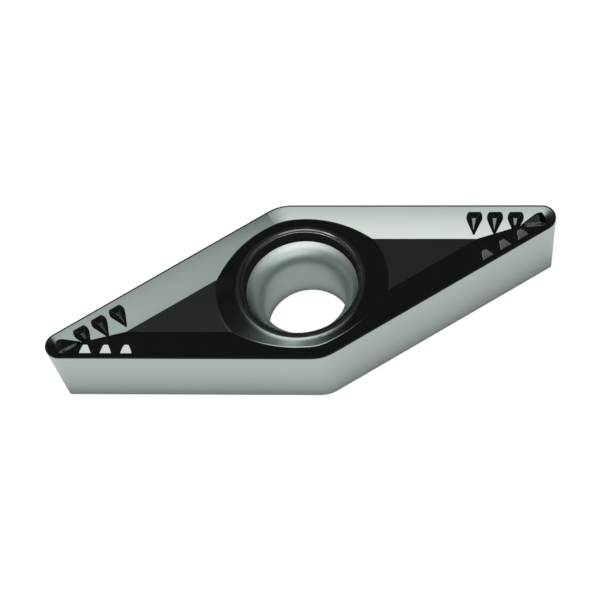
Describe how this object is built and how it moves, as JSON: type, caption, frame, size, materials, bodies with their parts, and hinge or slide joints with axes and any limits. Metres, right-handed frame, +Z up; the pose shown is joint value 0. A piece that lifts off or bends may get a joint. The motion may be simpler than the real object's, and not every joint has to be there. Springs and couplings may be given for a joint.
{
  "type": "carbide insert",
  "caption": "Slim rhombic carbide turning insert with rounded cutting noses, a sunk rake face with chip breaker bumps and a central screw hole.",
  "frame": {"origin": "centre of the seat face, on the axis of the screw hole", "axes": "+Z up along the axis of the screw hole, X along the long diagonal from nose to nose, Y along the short diagonal"},
  "size_m": [0.028, 0.0098, 0.0048],
  "materials": {
    "carbide": "polished rake face, finely ground flanks and seat"
  },
  "bodies": {
    "root": {"insert": "carbide"}
  },
  "joints": []
}
